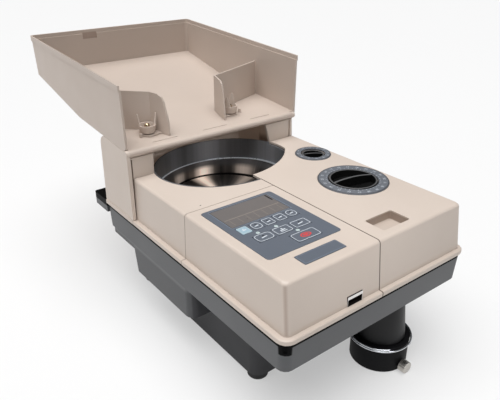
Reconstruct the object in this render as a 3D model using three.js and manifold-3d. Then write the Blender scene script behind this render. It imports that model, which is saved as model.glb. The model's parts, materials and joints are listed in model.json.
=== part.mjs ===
// Desktop coin sorting and counting machine: a round coin well with a spinning disc, a sliding diameter
// rail and a thickness gate set by two dials, a bag tube at the front and a folding coin tray at the rear.
// Millimetres, +Z up, X to the operator's right, Y towards the rear. The parts are laid out from the
// front left corner of the cover flange, with Z 0 at the flange's underside, and the whole group is then
// shifted so that the origin is the centre of the bounding box on the ground.

import * as THREE from "three";
import { mergeVertices } from "three/addons/utils/BufferGeometryUtils.js";
import Module from "manifold-3d";

const wasm = await Module();
wasm.setup();

// ---------------------------------------------------------------- driving dimensions

const WIDTH = 270;
const WALL = 3;
const GAP = 0.3;

const COVER_TOP = 59.45;
const FLANGE_HEIGHT = 5.2;
const COVER_REAR = 288.2;
const SEAM_X = 128.6;
const SEAM_Y = 172.3;
const COVER_FOOT = { left: 5.8, right: 265.1, front: 5.0 };
const COVER_HEAD = { left: 7.2, right: 261.9, front: 10.9 };

const WELL = { x: 127, y: 272, a: 93.7, b: 77.5 };
const RIGHT_ARC = { x: 126.9, y: 327.3, r: 116 };
const WELL_LEDGE = 30;
const WELL_SHEET = 1.6;

// The funnel from the disc up to the ledge, as [half width, half depth, z] of its inside.
const FUNNEL = [[75.5, 72.7, 10], [79.4, 73.1, 20], [87.4, 73.8, 28.4]];
const DISC_RADIUS = 71.5;
const DISC_BOTTOM = 6;
const DISC_THICK = 2.6;
const DECK_TOP = -0.6;
const DECK_THICK = 2.4;

const HOUSING_FRONT = 288.6;
const HOUSING_REAR = 364;
const HOUSING_FOOT = { left: 0.8, right: 262 };
const HOUSING_HEAD = { left: 2.6, right: 257.8 };
const HOUSING_GROOVE = { left: 252.1, right: 255.1, top: 84 };
const HINGE = { y: 290, z: 90.5, barrel: 4.3, rod: 1.6, bore: 1.95, clearance: 0.7 };
const CHEEK = { left: 0, right: 4.6, front: 285.4 };
const KNUCKLE = { left: 256.6, right: 261.5 };

const TRAY = { front: 291.5, rear: 575, floor: 2.6, wall: 2.6, left: 3, right: 265.6, lean: 2.4 };
const TRAY_FLOOR = [[291.5, 94.4], [343, 98.6], [427, 104.5], [600, 140.4]];
const TRAY_RIM = [[280, 171.8], [600, 189.2]];
const RIM_BAND = 7;
const RIM_LEDGE = 5.4;
const GUIDE_HEIGHT = 50;

// How far a cutting block reaches past the tray's rim and below its floor.
const ABOVE = 30;
const BELOW = 200;

const BAND_BOTTOM = -35.5;
const BAND_TOP = -0.5;
const SHADOW_LINE = { bottom: -1.8, depth: 1.8 };
const REAR_LIP_BOTTOM = -43;
const TUB = { left: 34, right: 236, front: 84, rear: 357, corner: 13, bottom: -120 };
const GROUND = -128;
const PANEL_FACE = 3.9;

const BIG_DIAL = { x: 214, y: 126.3, knob: 29, hole: 29.8, ring: 42.5 };
const SMALL_DIAL = { x: 234.5, y: 217.6, knob: 15.2, hole: 16, ring: 23.8 };

const OVERLAY = { left: 20.5, right: 115, front: 48.5, rear: 162.8, top: 59.75, thick: 1.2 };
const DISPLAY = { left: 29.4, right: 105.6, front: 117, rear: 158 };
const NAMEPLATE = { left: 42.2, right: 95.3, front: 22.9, rear: 39.2 };
const FINGER_RECESS = { left: 146.7, right: 187.5, front: 21.7, rear: 47.5, floor: 49.4 };

const EXIT = {
  x: 183.5, y: 38, top: 22, foot: 28, wall: 2.5, bottom: -97, collar: 33.3, collarBottom: -127, flange: 34,
};
const COLLAR_SCREW_Z = -120.3;
const PORT = { left: 82.9, right: 103.5, bottom: 3.7, top: 15.5 };

const SPINDLE_PULLEY = { r: 38, bottom: -46, top: -35 };
const MOTOR = { x: 78, y: 150, r: 30, pulley: 12 };
const INLET = { x: 86, z: -89 };
const ROCKER = { x: 124, z: -88 };

// ---------------------------------------------------------------- solid helpers

// A closed three.js geometry as a solid that can be joined and cut.
function solidOf(geometry) {
  const bare = geometry.clone();
  bare.deleteAttribute("normal");
  bare.deleteAttribute("uv");
  const merged = mergeVertices(bare, 1e-4);
  const vertProperties = new Float32Array(merged.attributes.position.array);
  const triVerts = new Uint32Array(merged.index.array);
  return new wasm.Manifold(new wasm.Mesh({ numProp: 3, vertProperties, triVerts }));
}

function geometryOf(solid) {
  const mesh = solid.getMesh();
  const geometry = new THREE.BufferGeometry();
  geometry.setAttribute("position", new THREE.BufferAttribute(new Float32Array(mesh.vertProperties), 3));
  geometry.setIndex(new THREE.BufferAttribute(new Uint32Array(mesh.triVerts), 1));
  geometry.computeVertexNormals();
  return geometry;
}

const join = (first, ...others) => others.reduce((sum, other) => sum.add(other), first);
const cut = (first, ...others) => others.reduce((rest, other) => rest.subtract(other), first);

function box(x0, x1, y0, y1, z0, z1) {
  const geometry = new THREE.BoxGeometry(x1 - x0, y1 - y0, z1 - z0);
  return solidOf(geometry.translate((x0 + x1) / 2, (y0 + y1) / 2, (z0 + z1) / 2));
}

// An upright round bar.
function post(x, y, radius, z0, z1, facets = 32) {
  const geometry = new THREE.CylinderGeometry(radius, radius, z1 - z0, facets);
  return solidOf(geometry.rotateX(Math.PI / 2).translate(x, y, (z0 + z1) / 2));
}

// A round bar along X, and one along Y.
function barX(x0, x1, y, z, radius, facets = 24) {
  const geometry = new THREE.CylinderGeometry(radius, radius, x1 - x0, facets);
  return solidOf(geometry.rotateZ(Math.PI / 2).translate((x0 + x1) / 2, y, z));
}

function barY(x, y0, y1, z, radius, facets = 24) {
  const geometry = new THREE.CylinderGeometry(radius, radius, y1 - y0, facets);
  return solidOf(geometry.translate(x, (y0 + y1) / 2, z));
}

// A turned part about an upright axis. The profile is a closed loop of [radius, z], anticlockwise.
function turned(profile, facets = 48) {
  const points = profile.map(([r, z]) => new THREE.Vector2(r, z));
  if (profile[0][0] > 0 || profile[profile.length - 1][0] > 0) points.push(points[0].clone());
  return solidOf(new THREE.LatheGeometry(points, facets).rotateX(Math.PI / 2));
}

// A flat outline pushed up in Z.
function prismZ(outline, z0, z1) {
  const shape = new THREE.Shape(outline.map((p) => (Array.isArray(p) ? new THREE.Vector2(...p) : p)));
  const geometry = new THREE.ExtrudeGeometry(shape, { depth: z1 - z0, bevelEnabled: false });
  return solidOf(geometry.translate(0, 0, z0));
}

// A side profile of [y, z] points pushed along X.
function prismX(profile, x0, x1) {
  const shape = new THREE.Shape(profile.map(([y, z]) => new THREE.Vector2(y, z)));
  const geometry = new THREE.ExtrudeGeometry(shape, { depth: x1 - x0, bevelEnabled: false });
  const toSide = new THREE.Matrix4().makeBasis(
    new THREE.Vector3(0, 1, 0),
    new THREE.Vector3(0, 0, 1),
    new THREE.Vector3(1, 0, 0),
  );
  return solidOf(geometry.applyMatrix4(toSide).translate(x0, 0, 0));
}

// A skin through level outlines that have equal numbers of points, capped at both ends.
function loft(levels) {
  const count = levels[0].outline.length;
  const positions = levels.flatMap(({ outline, z }) => outline.flatMap((p) => [p.x, p.y, z]));
  const faces = [];
  for (let level = 0; level < levels.length - 1; level += 1) {
    for (let i = 0; i < count; i += 1) {
      const a = level * count + i;
      const b = level * count + ((i + 1) % count);
      faces.push(a, b, b + count, a, b + count, a + count);
    }
  }
  const last = (levels.length - 1) * count;
  for (const [a, b, c] of THREE.ShapeUtils.triangulateShape(levels[0].outline, [])) faces.push(c, b, a);
  for (const [a, b, c] of THREE.ShapeUtils.triangulateShape(levels[levels.length - 1].outline, [])) {
    faces.push(last + a, last + b, last + c);
  }
  const geometry = new THREE.BufferGeometry();
  geometry.setAttribute("position", new THREE.Float32BufferAttribute(positions, 3));
  geometry.setIndex(faces);
  return solidOf(geometry);
}

// A rectangle's outline with rounded front and rear corners; a radius of 0 leaves a sharp corner.
function outline(left, right, front, rear, frontRadius, rearRadius = frontRadius, steps = 4) {
  const corners = [
    [left, front, 1, 1, frontRadius, Math.PI],
    [right, front, -1, 1, frontRadius, 1.5 * Math.PI],
    [right, rear, -1, -1, rearRadius, 0],
    [left, rear, 1, -1, rearRadius, 0.5 * Math.PI],
  ];
  return corners.flatMap(([x, y, inX, inY, radius, start]) => {
    if (!radius) return [new THREE.Vector2(x, y)];
    return Array.from({ length: steps + 1 }, (_, i) => {
      const angle = start + (i / steps) * 0.5 * Math.PI;
      const cx = x + inX * radius;
      const cy = y + inY * radius;
      return new THREE.Vector2(cx + radius * Math.cos(angle), cy + radius * Math.sin(angle));
    });
  });
}

function ellipse(x, y, a, b, facets = 56) {
  return Array.from({ length: facets }, (_, i) => {
    const angle = (i / facets) * 2 * Math.PI;
    return new THREE.Vector2(x + a * Math.cos(angle), y + b * Math.sin(angle));
  });
}

// The opening of the coin well, drawn in from its edge by an inset.
const wellOutline = (inset) => ellipse(WELL.x, WELL.y, WELL.a - inset, WELL.b - inset);
const wellPrism = (inset, z0, z1) => prismZ(wellOutline(inset), z0, z1);

// ---------------------------------------------------------------- scene helpers

const machine = new THREE.Group();

const COLOURS = {
  beige: { color: 0xd9cbb9, roughness: 0.5, metalness: 0 },
  black: { color: 0x2a2a2c, roughness: 0.45, metalness: 0 },
  gloss: { color: 0x0c0c0e, roughness: 0.2, metalness: 0 },
  blueGrey: { color: 0x656c7c, roughness: 0.45, metalness: 0 },
  smoked: { color: 0x4a4542, roughness: 0.15, metalness: 0 },
  rubber: { color: 0x18181a, roughness: 0.9, metalness: 0 },
  steel: { color: 0x8a8785, roughness: 0.35, metalness: 1 },
  chrome: { color: 0xd5d8dc, roughness: 0.1, metalness: 1 },
  board: { color: 0x1f5a36, roughness: 0.6, metalness: 0 },
};

function add(name, solid, colour, place = [0, 0, 0], parent = machine) {
  const mesh = new THREE.Mesh(geometryOf(solid), new THREE.MeshStandardMaterial(COLOURS[colour]));
  mesh.name = name;
  mesh.position.set(...place);
  parent.add(mesh);
  return mesh;
}

// ---------------------------------------------------------------- covers

// The covers' drafted walls: the outline at a height, drawn in all round but at the rear.
function coverOutline(z, inset, rear) {
  const t = (z - FLANGE_HEIGHT) / (COVER_TOP - FLANGE_HEIGHT);
  const at = (side) => COVER_FOOT[side] + (COVER_HEAD[side] - COVER_FOOT[side]) * t;
  return outline(at("left") + inset, at("right") - inset, at("front") + inset, rear, 6, 0);
}

function flangeOutline(inset) {
  return outline(inset, WIDTH - inset, inset, COVER_REAR, 12, 0);
}

// One thin skin over the whole front of the machine, which the three covers are sliced from.
function coverSkin() {
  const edge = [[3.4, 0], [1.7, 0.45], [0.5, 1.6], [0, 3.4]];
  const outer = [
    { outline: flangeOutline(0), z: 0 },
    { outline: flangeOutline(0), z: FLANGE_HEIGHT - 0.9 },
    { outline: flangeOutline(0.9), z: FLANGE_HEIGHT },
    { outline: coverOutline(FLANGE_HEIGHT, 0, COVER_REAR), z: FLANGE_HEIGHT },
    ...edge.map(([drop, inset]) => {
      const z = COVER_TOP - drop;
      return { outline: coverOutline(z, inset, COVER_REAR), z };
    }),
  ];
  const underside = COVER_TOP - WALL;
  const inner = [
    { outline: coverOutline(FLANGE_HEIGHT, WALL, COVER_REAR - 2.5), z: -1 },
    { outline: coverOutline(underside, WALL, COVER_REAR - 2.5), z: underside },
  ];
  return loft(outer).subtract(loft(inner));
}

function buildCovers() {
  const skin = coverSkin();
  const opening = wellPrism(0, -5, 70);
  const left = skin.subtract(opening);
  const panelRegion = box(-1, SEAM_X - GAP, -1, SEAM_Y - GAP, -1, 61);
  add("panel_housing", cut(left.intersect(panelRegion), ...panelOpenings()), "beige");
  add("disc_cover", left.intersect(box(-1, SEAM_X - GAP, SEAM_Y + GAP, 290, -1, 61)), "beige");
  add("right_cover", rightCover(skin, opening), "beige");
}

// The recesses for the key panel and the nameplate, the hole under the keys and the port's cut-out.
function panelOpenings() {
  const recess = OVERLAY.top - OVERLAY.thick - GAP;
  const o = OVERLAY;
  const n = NAMEPLATE;
  return [
    prismZ(outline(o.left - GAP, o.right + GAP, o.front - GAP, o.rear + GAP, 4), recess, 61),
    box(o.left + 4, o.right - 4, o.front + 4, o.rear - 4, 50, 61),
    prismZ(outline(n.left - GAP, n.right + GAP, n.front - GAP, n.rear + GAP, 1.5), COVER_TOP - 0.8, 61),
    box(PORT.left - GAP, PORT.right + GAP, 4.6, 30, PORT.bottom - GAP, PORT.top + GAP),
  ];
}

// The right cover carries both dial rings and the moulded finger recess, and overhangs the well.
function rightCover(skin, opening) {
  const arc = post(RIGHT_ARC.x, RIGHT_ARC.y, RIGHT_ARC.r, -5, 70, 80);
  const r = FINGER_RECESS;
  const dialHoles = [BIG_DIAL, SMALL_DIAL].flatMap((dial) => [
    post(dial.x, dial.y, dial.hole, 40, 70, 40),
    post(dial.x, dial.y, dial.ring + GAP, COVER_TOP - 0.75, 70, 40),
  ]);
  const skirt = outline(r.left - 2, r.right + 2, r.front - 2, r.rear + 2, 4);
  const tub = prismZ(skirt, r.floor - 2, COVER_TOP - 1);
  const pocket = prismZ(outline(r.left, r.right, r.front, r.rear, 2.5), r.floor, 70);
  const slice = skin.intersect(box(SEAM_X + GAP, WIDTH + 1, -1, 290, -1, 61));
  const wellRelief = box(200, 224, 240, COVER_REAR + 1, -5, COVER_TOP - WALL);
  return cut(slice.add(tub), arc.intersect(opening), ...dialHoles, pocket, wellRelief);
}

// ---------------------------------------------------------------- rear housing and hinge

// The bore through the rear housing, level with the well below and drawn in towards its top right.
function housingBore() {
  return loft([
    { outline: wellOutline(0), z: -5 },
    { outline: wellOutline(0), z: COVER_TOP },
    { outline: ellipse(WELL.x - 5.3, WELL.y, WELL.a - 6.5, WELL.b - 2), z: 100 },
  ]);
}

// The room between the housing's leaning side walls, drawn in all round by an inset.
function housingBlock(inset) {
  const level = (side, z) => ({
    outline: outline(side.left + inset, side.right - inset, HOUSING_FRONT - 9, HOUSING_REAR + 9, 0),
    z,
  });
  return loft([level(HOUSING_FOOT, -2), level(HOUSING_HEAD, 97)]);
}

function buildRearHousing() {
  const profile = (inset) => {
    const bottom = inset ? -1 : 0;
    const radius = 12;
    const roll = new THREE.EllipseCurve(
      HOUSING_REAR - radius, 84.2, radius - inset, radius - inset, 0, 0.47 * Math.PI,
    );
    return [
      [HOUSING_FRONT + inset, bottom],
      [HOUSING_REAR - inset, bottom],
      ...roll.getPoints(6).map((p) => [p.x, p.y]),
      [343, 95.8 - inset],
      [HOUSING_FRONT + inset, 91.3 - inset],
    ];
  };
  const flange = box(0, WIDTH, HOUSING_FRONT, HOUSING_REAR, 0, FLANGE_HEIGHT);
  const outside = prismX(profile(0), 0, WIDTH).intersect(housingBlock(0));
  const inside = prismX(profile(WALL), 0, WIDTH).intersect(housingBlock(WALL));
  const { y, z, barrel, bore, clearance } = HINGE;
  const c = CHEEK;
  const g = HOUSING_GROOVE;
  const cheek = join(
    box(c.left, c.right, c.front, y, FLANGE_HEIGHT + 0.6, z),
    barX(c.left, c.right, y, z, 4.9),
  );
  const hollow = cut(
    join(cut(join(outside, flange), inside), cheek),
    housingBore(),
    barX(c.right, WIDTH, y, z, barrel + clearance),
    box(c.right, WIDTH, 283, y, z - barrel - clearance, 110),
    box(g.left, g.right, HOUSING_FRONT - 1, HOUSING_FRONT + 2, FLANGE_HEIGHT, g.top),
    ...GUIDES.map(({ nut }) => post(...nut, 7, 80, 110, 20)),
  );
  const knuckle = [KNUCKLE.left, KNUCKLE.right];
  const web = prismX([[y, z - 4], [y + 4.2, 82], [302, 82], [302, z + 0.7], [y, z + 0.7]], ...knuckle);
  const rearHousing = cut(
    join(hollow, barX(...knuckle, y, z, barrel), web),
    barX(c.left + 1.2, KNUCKLE.right - 1.2, y, z, bore, 12),
  );
  add("rear_housing", rearHousing, "beige");
  add("tray_hinge_rod", barX(c.left + 1.6, KNUCKLE.right - 1.6, y, z, HINGE.rod, 16), "steel");
}

// ---------------------------------------------------------------- coin tray

function heightOn(line, y) {
  const after = Math.max(1, line.findIndex(([at]) => at >= y));
  const [y0, z0] = line[after - 1];
  const [y1, z1] = line[after];
  return z0 + ((z1 - z0) * (y - y0)) / (y1 - y0);
}

// The space between the floor line raised by a lift and the rim line lowered by a drop.
function traySlice(lift, drop, front = TRAY.front) {
  const floor = TRAY_FLOOR.filter(([y]) => y > front).map(([y, z]) => [y, z + lift]);
  const rim = TRAY_RIM.map(([y, z]) => [y, z - drop]).reverse();
  rim[1] = [front, heightOn(TRAY_RIM, front) - drop];
  return prismX([[front, heightOn(TRAY_FLOOR, front) + lift], ...floor, ...rim], -5, WIDTH + 5);
}

// The space along the rim line, from a depth below it up to a drop below it (above it, if negative).
function belowRim(depth, drop, front) {
  return traySlice(0, drop, front).subtract(traySlice(-BELOW, depth));
}

// The tray's walls lean out from their foot to the rim.
function trayBlock(inset, front) {
  const at = (z, lean) => ({
    outline: outline(
      TRAY.left - lean + inset, TRAY.right + lean - inset, front, TRAY.rear + lean - inset, 0, 5,
    ),
    z,
  });
  return loft([at(80, 0), at(200, TRAY.lean)]);
}

function buildTray(tray) {
  const { floor, wall, front } = TRAY;
  const tub = trayBlock(0, front).intersect(traySlice(-floor, 0));
  const band = trayBlock(-1, front).intersect(belowRim(RIM_BAND, 0, front));
  const hollow = trayBlock(wall, front - 5).intersect(traySlice(0, -ABOVE, front - 5));
  const rabbet = trayBlock(1.2, front - 5).intersect(belowRim(RIM_LEDGE, -ABOVE, front - 5));
  const web = [[HINGE.y, HINGE.z + 1.6], [296, 92.3], [296, 94.76], [HINGE.y, HINGE.z + HINGE.barrel]];
  const barrel = [CHEEK.right + GAP, KNUCKLE.left - 0.4];
  const lip = join(
    barX(...barrel, HINGE.y, HINGE.z, HINGE.barrel, 20),
    prismX(web, barrel[0] + 0.6, barrel[1] - 0.6),
  );
  const slots = [[42, 77], [115, 152], [192, 225]].map(([x0, x1]) => box(x0, x1, 298.4, 299.6, 85, 100));
  const pegs = GUIDES.map(({ peg: [x, y] }) => {
    const base = heightOn(TRAY_FLOOR, y);
    return post(x, y, 1.9, base - 1, base + 5, 12);
  });
  const solid = cut(
    join(cut(tub.add(band), hollow, rabbet), lip, ...pegs),
    barX(-1, WIDTH + 1, HINGE.y, HINGE.z, HINGE.bore, 16),
    barX(-5, barrel[0], HINGE.y, HINGE.z, 6),
    barX(barrel[1], KNUCKLE.right + 1, HINGE.y, HINGE.z, HINGE.barrel + 0.6),
    box(barrel[1], KNUCKLE.right + 1, HINGE.y, 303, 80, HINGE.z + 1),
    ...slots,
    box(79, 101, 560, TRAY.rear + 0.9, 174.5, 184),
    ...GUIDES.map(({ nut }) => post(...nut, 2.8, 80, 120, 12)),
  );
  add("coin_tray", solid, "beige", [0, 0, 0], tray);
}

// Each guide is a chute wall and a diagonal fence, drawn as its run of corners from front to side wall,
// with the clamp nut's centre, the foot plate that the nut holds down and a peg on the tray beside it.
const GUIDES = [
  {
    name: "left",
    run: [[70, 305], [60, 333], [7.6, 373]],
    nut: [49, 324],
    peg: [36.5, 318.5],
    foot: [[65.5, 317], [60.5, 332], [55, 335], [41, 332], [38.8, 320], [46, 313.5], [55, 313.5]],
    turn: -20,
  },
  {
    name: "right",
    run: [[159, 312], [168, 348], [261.5, 379]],
    nut: [178, 328],
    peg: [194.5, 327],
    foot: [[161.5, 320], [185, 320], [188, 328], [185, 337], [176, 339], [166.5, 341]],
    turn: 35,
  },
];

// The outline of a bent strip of even thickness along a run of three points.
function strip(run, thickness) {
  const points = run.map((p) => new THREE.Vector2(...p));
  const normal = (a, b) => {
    const along = b.clone().sub(a).normalize();
    return new THREE.Vector2(-along.y, along.x).multiplyScalar(thickness / 2);
  };
  const first = normal(points[0], points[1]);
  const second = normal(points[1], points[2]);
  const bend = first.clone().add(second);
  bend.multiplyScalar((thickness * thickness) / 2 / bend.lengthSq());
  const side = (sign) => [
    points[0].clone().addScaledVector(first, sign),
    points[1].clone().addScaledVector(bend, sign),
    points[2].clone().addScaledVector(second, sign),
  ];
  return [...side(-1), ...side(1).reverse()];
}

function buildGuide(tray, { name, run, nut, foot, turn }) {
  const thickness = 2.2;
  const wall = prismZ(strip(run, thickness), 80, 200).intersect(
    traySlice(GAP, 0, 296).intersect(guideHeadroom(run[0][1])),
  );
  const footRoom = traySlice(GAP, 0, 296).subtract(traySlice(GAP + 2, -50, 290));
  const plate = prismZ(foot, 80, 200).intersect(footRoom);
  const solid = join(wall, plate).subtract(post(...nut, 2.8, 80, 120, 12));
  add(`tray_guide_${name}`, solid, "beige", [0, 0, 0], tray);
  const seat = heightOn(TRAY_FLOOR, nut[1]) + GAP + 2.9;
  const wings = add(`guide_nut_${name}`, wingNut(), "beige", [...nut, seat], tray);
  wings.rotation.z = THREE.MathUtils.degToRad(turn);
  add(`guide_stud_${name}`, clampStud(), "steel", [...nut, seat], tray);
}

// The room that a guide fills, seen from the side: its front edge leans back and its top corner is round.
function guideHeadroom(front) {
  const topAt = (y) => heightOn(TRAY_FLOOR, y) + GUIDE_HEIGHT;
  return prismX([
    [front - 6, 85],
    [420, 85],
    [420, topAt(420)],
    [front + 15, topAt(front + 15)],
    [front + 9, topAt(front + 9) - 3],
    [front + 6, topAt(front + 6) - 9],
  ], -5, WIDTH + 5);
}

// A clamp nut: a flared cup with two tall pointed ears that rise from its rim, across X.
function wingNut() {
  const cup = turned([[2.7, 0], [9.3, 0], [11.4, 9.5], [9.5, 9.5], [8.2, 3.4], [2.7, 3.4]], 32);
  const flare = turned([[8.6, 5], [10.4, 5], [11.9, 23.6], [10.6, 23.6]], 32);
  return join(cup, flare.intersect(prismX([[-6.4, 4], [6.4, 4], [1.1, 23.6], [-1.1, 23.6]], -14, 14)));
}

function clampStud() {
  return join(
    post(0, 0, 2.2, -7.6, 5, 12),
    turned([[0, 3.8], [4.6, 3.8], [4.6, 5.6], [3.2, 7.4], [1.7, 8.3], [0, 8.6]], 20),
    post(0, 0, 5, -9.4, -7.4, 6),
  );
}

// ---------------------------------------------------------------- base

function buildBase() {
  const bandOutline = (z, inset) => {
    const lean = 2 + 1.6 * ((BAND_TOP - z) / (BAND_TOP - BAND_BOTTOM)) + inset;
    return outline(lean, WIDTH - lean, lean + 0.3, HOUSING_REAR - inset, 10, 4);
  };
  const tubOutline = (z, inset) => {
    const lean = ((BAND_BOTTOM - z) / (BAND_BOTTOM - TUB.bottom)) * 2 + inset;
    const { left, right, front, rear, corner } = TUB;
    return outline(left + lean, right - lean, front + lean, rear - lean, corner, corner, 5);
  };
  const line = SHADOW_LINE;
  const band = loft([
    { outline: bandOutline(BAND_BOTTOM, 1.2), z: BAND_BOTTOM },
    { outline: bandOutline(BAND_BOTTOM + 1.6, 0), z: BAND_BOTTOM + 1.6 },
    { outline: bandOutline(line.bottom, 0), z: line.bottom },
    { outline: bandOutline(line.bottom, line.depth), z: line.bottom },
    { outline: bandOutline(BAND_TOP, line.depth), z: BAND_TOP },
  ]);
  const bandInside = loft([
    { outline: bandOutline(BAND_BOTTOM, WALL), z: BAND_BOTTOM + WALL },
    { outline: bandOutline(BAND_TOP, WALL), z: 1 },
  ]);
  const cornerDent = post(3.4, 3.4, 4.2, -11, line.bottom, 20);
  const tub = loft([
    { outline: tubOutline(TUB.bottom, 0), z: TUB.bottom },
    { outline: tubOutline(BAND_BOTTOM, 0), z: BAND_BOTTOM + 1 },
  ]);
  const tubInside = loft([
    { outline: tubOutline(TUB.bottom, WALL), z: TUB.bottom - 1 },
    { outline: tubOutline(BAND_BOTTOM, WALL), z: 1 },
  ]);
  const posts = FEET.map(([x, y]) => post(x, y, 12, TUB.bottom, BAND_BOTTOM + 2, 24));
  const rearLip = cut(
    prismZ(outline(5, WIDTH - 5, 297.5, 362, 0, 5), REAR_LIP_BOTTOM, BAND_BOTTOM + 1),
    prismZ(outline(8, WIDTH - 8, 300.5, 359, 0, 2), REAR_LIP_BOTTOM - 1, BAND_BOTTOM),
  );
  const bosses = [20, 250].flatMap((x) => [26, 335].map((y) => post(x, y, 5, BAND_BOTTOM + 1, -3.3, 12)));
  const solid = cut(
    join(
      cut(join(band, tub, rearLip, ...sidePanels(0)), bandInside, tubInside, ...sidePanels(WALL)),
      rearLedge(), ...posts, ...bosses,
    ),
    post(EXIT.x, EXIT.y, EXIT.top + 1.5, -60, 5, 32),
    cornerDent,
    box(INLET.x - 14, INLET.x + 14, 340, 370, INLET.z - 10.3, INLET.z + 10.3),
    box(ROCKER.x - 8, ROCKER.x + 8, 340, 370, ROCKER.z - 11.5, ROCKER.z + 11.5),
  );
  add("base_shell", solid, "black");
  FEET.forEach(([x, y], i) => add(`foot_${i + 1}`, rubberFoot(), "rubber", [x, y, GROUND]));
  add("bottom_plate", bottomPlate(), "steel");
}

const FEET = [[49, 99], [221, 99], [49, 342], [221, 342]];

// A deep panel on each side behind the hand grip, level with the band; a wall's inset makes its inside.
function sidePanels(inset) {
  const front = 165 + inset;
  const rear = 299 - inset;
  const top = inset ? 5 : BAND_BOTTOM + 3;
  const side = prismX([
    [front, -73 + inset], [rear - 6, -73 + inset], [rear, -40], [rear, top], [front, top],
  ], PANEL_FACE + inset, WIDTH - PANEL_FACE - inset);
  const reach = TUB.left + 4 - (inset ? 2 : 0);
  return [[PANEL_FACE + inset, reach], [WIDTH - reach, WIDTH - PANEL_FACE - inset]].map(([x0, x1]) => {
    const plan = x0 < WIDTH / 2
      ? [...arcCorner(x0, front, 1), [x1, front], [x1, rear], [x0, rear]]
      : [[x0, front], ...arcCorner(x1, front, -1), [x1, rear], [x0, rear]];
    return prismZ(plan, -90, 20).intersect(side);
  });
}

// The rounded front corner of a side panel, in order round the outline.
function arcCorner(x, y, inward) {
  const radius = 11;
  const points = Array.from({ length: 6 }, (_, i) => {
    const angle = (i / 5) * 0.5 * Math.PI;
    return [x + inward * radius * (1 - Math.cos(angle)), y + radius * (1 - Math.sin(angle))];
  });
  return inward > 0 ? points : points.reverse();
}

function rearLedge() {
  return cut(
    join(
      prismZ(outline(0.5, WIDTH - 0.5, HOUSING_REAR + 0.5, 402.5, 0, 3), -14, 3.5),
      box(6, WIDTH - 6, HOUSING_REAR - 2.5, HOUSING_REAR + 2, -14, -1),
    ),
    prismZ(outline(3.5, WIDTH - 3.5, HOUSING_REAR + 3.5, 399.5, 0, 1.5), -15, 0.5),
  );
}

function rubberFoot() {
  return turned([[0, 0], [10.4, 0], [12, 1.8], [12, 7.7], [0, 7.7]], 24);
}

function bottomPlate() {
  const inset = WALL + 2 + 0.5;
  const plate = prismZ(
    outline(TUB.left + inset, TUB.right - inset, TUB.front + inset, TUB.rear - inset, 8),
    TUB.bottom + 0.6, TUB.bottom + 2.6,
  );
  return cut(plate, ...FEET.map(([x, y]) => post(x, y, 12.6, -130, -110, 24)));
}

// ---------------------------------------------------------------- deck, disc and drive

function buildDeck() {
  const plate = prismZ(outline(9.5, 260.5, 9.5, 359.5, 10, 4), DECK_TOP - DECK_THICK, DECK_TOP);
  add("deck_plate", cut(
    plate,
    post(WELL.x, WELL.y, 8, -10, 5, 24),
    post(EXIT.x, EXIT.y, EXIT.top - 1, -10, 5, 32),
  ), "steel");
}

// A solid of ellipses about the well's middle, given as [half width, half depth, z] from the bottom up.
function wellLoft(levels) {
  return loft(levels.map(([a, b, z]) => ({ outline: ellipse(WELL.x, WELL.y, a, b), z })));
}

// The well's sheet wall: an upright upper band on a ledge, and a funnel below it down to the disc, with a
// low slot where coins leave.
function buildWell() {
  const fit = 0.8;
  const inside = [[FUNNEL[0][0], FUNNEL[0][1], DECK_TOP + GAP], ...FUNNEL];
  const [throatA, throatB, brim] = FUNNEL[FUNNEL.length - 1];
  const outer = wellLoft([
    ...inside.map(([a, b, z]) => [a + WELL_SHEET, b + WELL_SHEET, z]),
    [WELL.a - fit, WELL.b - fit, brim], [WELL.a - fit, WELL.b - fit, COVER_TOP - GAP],
  ]);
  const funnel = wellLoft([[FUNNEL[0][0], FUNNEL[0][1], -5], ...FUNNEL, [throatA, throatB, WELL_LEDGE + 1]]);
  const solid = cut(
    outer,
    wellPrism(fit + WELL_SHEET, WELL_LEDGE, 70),
    funnel,
    box(SEAM_X - 1, 230, 180, COVER_REAR + 0.5, COVER_TOP - WALL - 0.5, 70),
    box(156, 196, 185, 250, DISC_BOTTOM + 1.5, DISC_BOTTOM + 8),
  );
  add("well_wall", solid, "steel");
  const disc = turned([
    [6.4, 0], [DISC_RADIUS, 0], [DISC_RADIUS, DISC_THICK - 1], [DISC_RADIUS - 1.2, DISC_THICK],
    [30, DISC_THICK], [14, DISC_THICK + 3], [6.4, DISC_THICK + 3.6],
  ], 48);
  add("sorting_disc", disc, "steel", [WELL.x, WELL.y, DISC_BOTTOM]);
  const spindle = turned([
    [0, -58], [5, -58], [5, -47], [6, -47], [6, 12.6], [9.5, 12.6], [9.5, 15], [6, 17], [0, 17.6],
  ], 18);
  add("disc_spindle", spindle, "steel", [WELL.x, WELL.y, 0]);
  const bearing = turned([[6.6, -30], [16, -30], [16, -8], [24, -8], [24, -3.4], [6.6, -3.4]], 24);
  add("bearing_housing", bearing, "steel", [WELL.x, WELL.y, 0]);
}

// A belt pulley with a shallow groove round its rim and a bored hub.
function pulley(radius, bore, height) {
  return turned([
    [bore, 0], [radius + 1.8, 0], [radius, 1.6], [radius, height - 1.6],
    [radius + 1.8, height], [bore, height],
  ], 28);
}

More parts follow.
